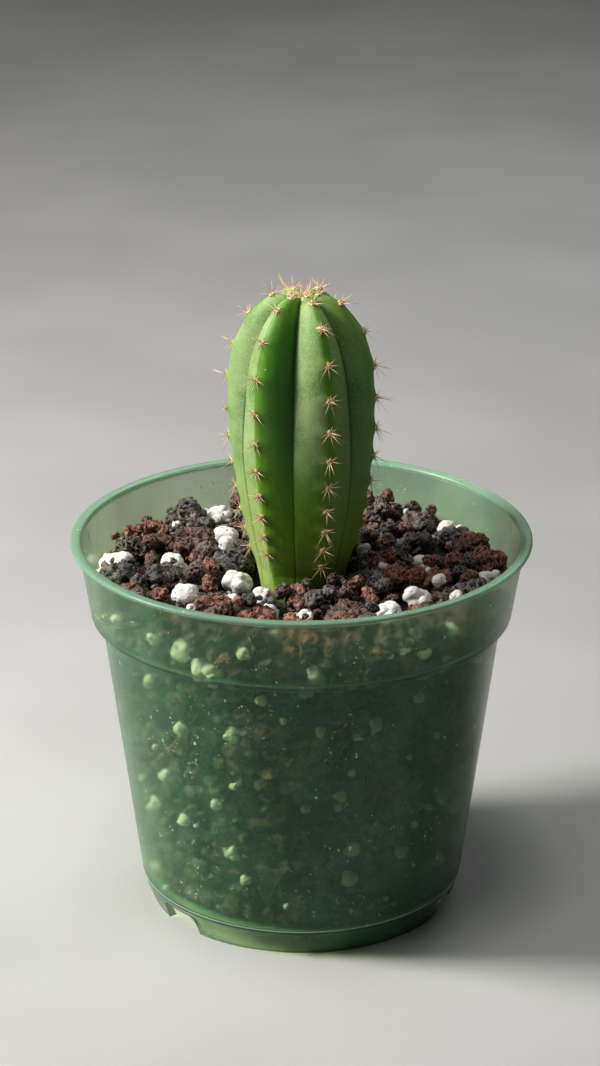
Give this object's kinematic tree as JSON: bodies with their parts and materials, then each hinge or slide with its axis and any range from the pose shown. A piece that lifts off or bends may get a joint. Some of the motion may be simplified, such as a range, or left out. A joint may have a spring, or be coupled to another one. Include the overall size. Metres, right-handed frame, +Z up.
{
  "type": "potted tall cactus",
  "caption": "Short ribbed column cactus with spine clusters, rooted in lava and perlite grit in a translucent green plastic nursery pot with a collared rim.",
  "frame": {"origin": "centre of the pot's sole, on the surface that the pot stands on", "axes": "+Z up along the pot and the stem, -Y towards the front of the picture's view, +X to its right"},
  "size_m": [0.11, 0.11, 0.1574],
  "materials": {
    "green_plastic": "satin",
    "moist_mix": "matte",
    "cactus_skin": "satin",
    "spine_straw": "matte",
    "white_perlite": "matte",
    "red_lava_rock": "matte",
    "black_lava_rock": "matte"
  },
  "bodies": {
    "root": {"black_lava_01": "black_lava_rock", "black_lava_02": "black_lava_rock", "black_lava_03": "black_lava_rock", "black_lava_04": "black_lava_rock", "black_lava_05": "black_lava_rock", "black_lava_06": "black_lava_rock", "black_lava_07": "black_lava_rock", "black_lava_08": "black_lava_rock", "black_lava_09": "black_lava_rock", "black_lava_10": "black_lava_rock", "black_lava_11": "black_lava_rock", "black_lava_12": "black_lava_rock", "black_lava_13": "black_lava_rock", "black_lava_14": "black_lava_rock", "black_lava_15": "black_lava_rock", "black_lava_16": "black_lava_rock", "black_lava_17": "black_lava_rock", "black_lava_18": "black_lava_rock", "black_lava_19": "black_lava_rock", "black_lava_20": "black_lava_rock", "black_lava_21": "black_lava_rock", "black_lava_22": "black_lava_rock", "black_lava_23": "black_lava_rock", "cactus_stem": "cactus_skin", "crown_spine_tuft": "spine_straw", "nursery_pot": "green_plastic", "perlite_01": "white_perlite", "perlite_02": "white_perlite", "perlite_03": "white_perlite", "perlite_04": "white_perlite", "perlite_05": "white_perlite", "perlite_06": "white_perlite", "perlite_07": "white_perlite", "perlite_08": "white_perlite", "perlite_09": "white_perlite", "perlite_10": "white_perlite", "perlite_11": "white_perlite", "perlite_12": "white_perlite", "perlite_13": "white_perlite", "perlite_14": "white_perlite", "potting_mix": "moist_mix", "red_lava_01": "red_lava_rock", "red_lava_02": "red_lava_rock", "red_lava_03": "red_lava_rock", "red_lava_04": "red_lava_rock", "red_lava_05": "red_lava_rock", "red_lava_06": "red_lava_rock", "red_lava_07": "red_lava_rock", "red_lava_08": "red_lava_rock", "red_lava_09": "red_lava_rock", "red_lava_10": "red_lava_rock", "red_lava_11": "red_lava_rock", "red_lava_12": "red_lava_rock", "red_lava_13": "red_lava_rock", "red_lava_14": "red_lava_rock", "red_lava_15": "red_lava_rock", "red_lava_16": "red_lava_rock", "red_lava_17": "red_lava_rock", "red_lava_18": "red_lava_rock"}
  },
  "joints": []
}
